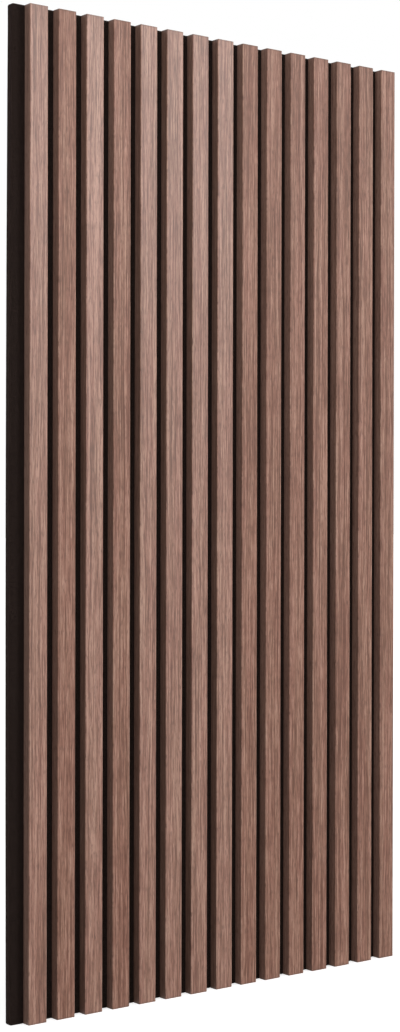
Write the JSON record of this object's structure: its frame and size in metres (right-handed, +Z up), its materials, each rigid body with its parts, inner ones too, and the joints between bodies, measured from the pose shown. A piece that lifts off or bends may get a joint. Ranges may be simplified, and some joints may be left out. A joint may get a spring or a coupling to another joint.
{
  "type": "acoustic slat wall panel",
  "caption": "Upright wall panel of walnut-veneered slats spaced on dark felt board; the felt laps past one side so that panels butt together, and it damps sound.",
  "frame": {"origin": "middle of the felt's back face, on the wall", "axes": "+X along the wall to the viewer's right, +Y into the wall, +Z up along the slats"},
  "size_m": [0.6026, 0.021, 1.2],
  "materials": {
    "walnut_veneer": "satin",
    "mdf_core": "sawn",
    "felt": "needled",
    "staple_wire": "galvanised"
  },
  "bodies": {
    "root": {"felt_backing": "felt", "slat_core_01": "mdf_core", "slat_core_02": "mdf_core", "slat_core_03": "mdf_core", "slat_core_04": "mdf_core", "slat_core_05": "mdf_core", "slat_core_06": "mdf_core", "slat_core_07": "mdf_core", "slat_core_08": "mdf_core", "slat_core_09": "mdf_core", "slat_core_10": "mdf_core", "slat_core_11": "mdf_core", "slat_core_12": "mdf_core", "slat_core_13": "mdf_core", "slat_core_14": "mdf_core", "slat_core_15": "mdf_core", "slat_veneer_01": "walnut_veneer", "slat_veneer_02": "walnut_veneer", "slat_veneer_03": "walnut_veneer", "slat_veneer_04": "walnut_veneer", "slat_veneer_05": "walnut_veneer", "slat_veneer_06": "walnut_veneer", "slat_veneer_07": "walnut_veneer", "slat_veneer_08": "walnut_veneer", "slat_veneer_09": "walnut_veneer", "slat_veneer_10": "walnut_veneer", "slat_veneer_11": "walnut_veneer", "slat_veneer_12": "walnut_veneer", "slat_veneer_13": "walnut_veneer", "slat_veneer_14": "walnut_veneer", "slat_veneer_15": "walnut_veneer", "staples": "staple_wire"}
  },
  "joints": []
}
